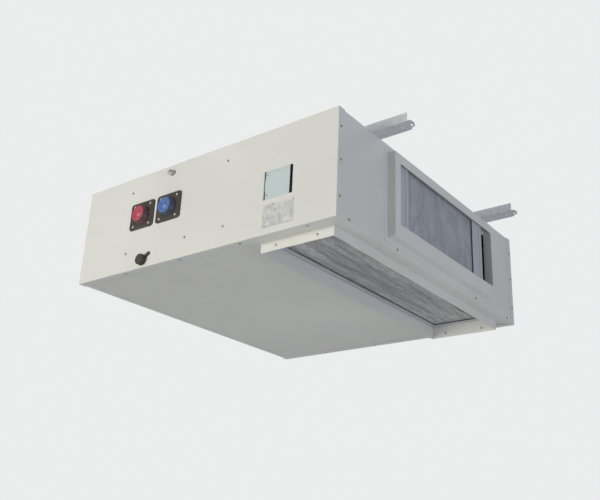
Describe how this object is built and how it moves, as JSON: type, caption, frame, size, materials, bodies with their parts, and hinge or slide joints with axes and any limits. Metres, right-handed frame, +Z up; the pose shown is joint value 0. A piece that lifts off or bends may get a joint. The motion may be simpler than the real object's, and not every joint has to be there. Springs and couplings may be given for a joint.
{
  "type": "ducted fan coil unit",
  "caption": "Low ducted ceiling fan coil unit: folded-sheet casing on hanger rails, with centrifugal fans, coil, drain pan, filtered rear and bottom returns, and capped water pipes.",
  "frame": {"origin": "centre of the four hanger holes, on the plane of the rails' underside", "axes": "+X towards the return end, -Y towards the service side with the water pipes, +Z up"},
  "size_m": [1.169, 1.0343, 0.3498],
  "materials": {
    "casing": "satin off-white paint",
    "galvanised": "galvanised, dull spangle",
    "filter_frame": "satin",
    "filter_mesh": "woven wire, matte",
    "foam": "matte closed-cell foam",
    "fins": "fine vertical fins, satin",
    "copper": "bare copper, lightly tarnished",
    "seal_rubber": "matte black",
    "red_plastic": "semi-gloss red",
    "blue_plastic": "semi-gloss blue",
    "vent_metal": "nickelled brass, satin",
    "pan_steel": "dark coated steel",
    "zinc_screw": "bright zinc",
    "fan_steel": "galvanised",
    "shaft_steel": "ground",
    "motor_paint": "satin dark grey",
    "motor_core": "laminated, varnished",
    "cast_alloy": "as cast",
    "pale_plastic": "matte",
    "flap_plastic": "matte, slightly translucent look"
  },
  "bodies": {
    "unit": {"service_panel": "casing", "far_side_panel": "casing", "return_end_panel": "casing", "supply_end_panel": "casing", "bottom_panel": "casing", "top_panel": "casing", "service_liner": "foam", "far_liner": "foam", "floor_liner": "foam", "ceiling_liner": "foam", "hanger_rail_near": "galvanised", "hanger_rail_far": "galvanised", "rail_bolts": "zinc_screw", "supply_collar": "galvanised", "rear_collar": "casing", "bottom_collar": "casing", "coil_fins": "fins", "coil_plate_near": "galvanised", "coil_plate_far": "galvanised", "return_bends": "copper", "flow_header": "copper", "return_header": "copper", "flow_flange": "seal_rubber", "return_flange": "seal_rubber", "flange_screws": "zinc_screw", "air_vent_body": "vent_metal", "drain_pan": "pan_steel", "fan_deck": "galvanised", "scroll_near": "fan_steel", "scroll_far": "fan_steel", "inlet_rings": "fan_steel", "motor_shell": "motor_paint", "motor_end_cap_near": "cast_alloy", "motor_end_cap_far": "cast_alloy", "motor_stator": "motor_core", "motor_cradle": "galvanised", "motor_straps": "galvanised", "run_capacitor": "cast_alloy", "control_box": "galvanised", "terminal_block": "pale_plastic", "flap_hinge": "zinc_screw", "casing_screws": "zinc_screw", "collar_screws": "zinc_screw"},
    "fan_rotor": {"impeller_near": "fan_steel", "impeller_far": "fan_steel", "fan_shaft": "shaft_steel", "motor_rotor": "motor_core"},
    "rear_filter": {"rear_filter_frame": "filter_frame", "rear_filter_mesh": "filter_mesh"},
    "bottom_filter": {"bottom_filter_frame": "filter_frame", "bottom_filter_mesh": "filter_mesh"},
    "flap": {"control_flap": "flap_plastic"},
    "flow_cap": {"red_cap": "red_plastic"},
    "return_cap": {"blue_cap": "blue_plastic"},
    "condensate_cap": {"drain_cap": "seal_rubber"},
    "bleed_screw": {"air_vent_screw": "vent_metal"}
  },
  "joints": [
    {"name": "fan_spin", "type": "hinge", "parent": "unit", "child": "fan_rotor", "pos_m": [0.1685, 0.007, -0.1448], "axis": [0, 1, 0], "continuous": true},
    {"name": "rear_filter_slide", "type": "slide", "parent": "unit", "child": "rear_filter", "axis": [0, 1, 0], "range_m": [0, 0.045]},
    {"name": "bottom_filter_drop", "type": "slide", "parent": "unit", "child": "bottom_filter", "axis": [0, 0, -1], "range_m": [0, 0.075]},
    {"name": "control_flap_hinge", "type": "hinge", "parent": "unit", "child": "flap", "pos_m": [0.2455, -0.497, -0.1618], "axis": [0, 0, -1], "range_deg": [0, 90]},
    {"name": "red_cap_pull", "type": "slide", "parent": "unit", "child": "flow_cap", "axis": [0, -1, 0], "range_m": [0, 0.03]},
    {"name": "blue_cap_pull", "type": "slide", "parent": "unit", "child": "return_cap", "axis": [0, -1, 0], "range_m": [0, 0.03]},
    {"name": "drain_cap_pull", "type": "slide", "parent": "unit", "child": "condensate_cap", "axis": [0, -1, 0], "range_m": [0, 0.025]},
    {"name": "air_vent_turn", "type": "hinge", "parent": "unit", "child": "bleed_screw", "pos_m": [-0.1105, -0.514, -0.0258], "axis": [0, -1, 0], "range_deg": [0, 360]}
  ]
}
